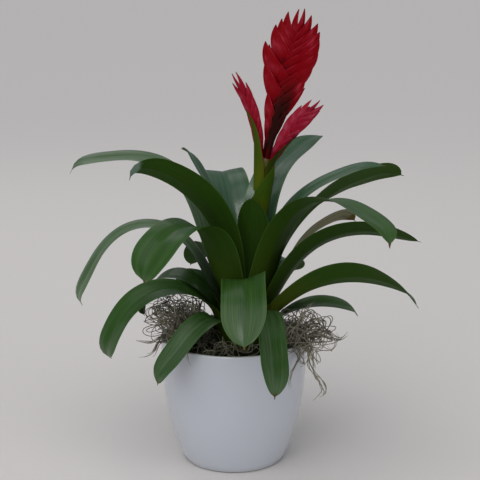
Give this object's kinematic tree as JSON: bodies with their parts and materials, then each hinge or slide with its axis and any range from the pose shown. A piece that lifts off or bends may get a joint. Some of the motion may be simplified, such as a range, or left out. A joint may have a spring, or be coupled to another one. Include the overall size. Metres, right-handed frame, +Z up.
{
  "type": "potted bromeliad",
  "caption": "Potted bromeliad with an arching rosette of strap leaves, a branched red flower spike and dry moss, in a glossy white round pot.",
  "frame": {"origin": "centre of the flat underside of the white pot", "axes": "+Z up; the front of the plant looks along -Y, with +X to the right as seen from the front"},
  "size_m": [0.3415, 0.3352, 0.44],
  "materials": {
    "pot_glaze": "gloss",
    "nursery_plastic": "satin",
    "potting_soil": "matte",
    "stem_base": "matte",
    "leaf_green": "satin",
    "scape_green": "satin",
    "bract_green": "satin",
    "spike_red": "satin",
    "side_spike_red": "satin",
    "dry_moss": "matte"
  },
  "bodies": {
    "root": {"pot": "pot_glaze", "nursery_pot": "nursery_plastic", "soil": "potting_soil", "stem_base": "stem_base", "scape": "scape_green", "leaf_01": "leaf_green", "leaf_02": "leaf_green", "leaf_03": "leaf_green", "leaf_04": "leaf_green", "leaf_05": "leaf_green", "leaf_06": "leaf_green", "leaf_07": "leaf_green", "leaf_08": "leaf_green", "leaf_09": "leaf_green", "leaf_10": "leaf_green", "leaf_11": "leaf_green", "leaf_12": "leaf_green", "leaf_13": "leaf_green", "leaf_14": "leaf_green", "leaf_15": "leaf_green", "leaf_16": "leaf_green", "leaf_17": "leaf_green", "leaf_18": "leaf_green", "leaf_19": "leaf_green", "leaf_20": "leaf_green", "leaf_21": "leaf_green", "leaf_22": "leaf_green", "leaf_23": "leaf_green", "leaf_24": "leaf_green", "leaf_25": "leaf_green", "scape_bract": "bract_green", "primary_bract_left": "bract_green", "primary_bract_right": "bract_green", "main_spike": "spike_red", "left_spike": "side_spike_red", "right_spike": "side_spike_red", "moss_left": "dry_moss", "moss_right": "dry_moss", "moss_front": "dry_moss", "moss_back": "dry_moss"}
  },
  "joints": []
}
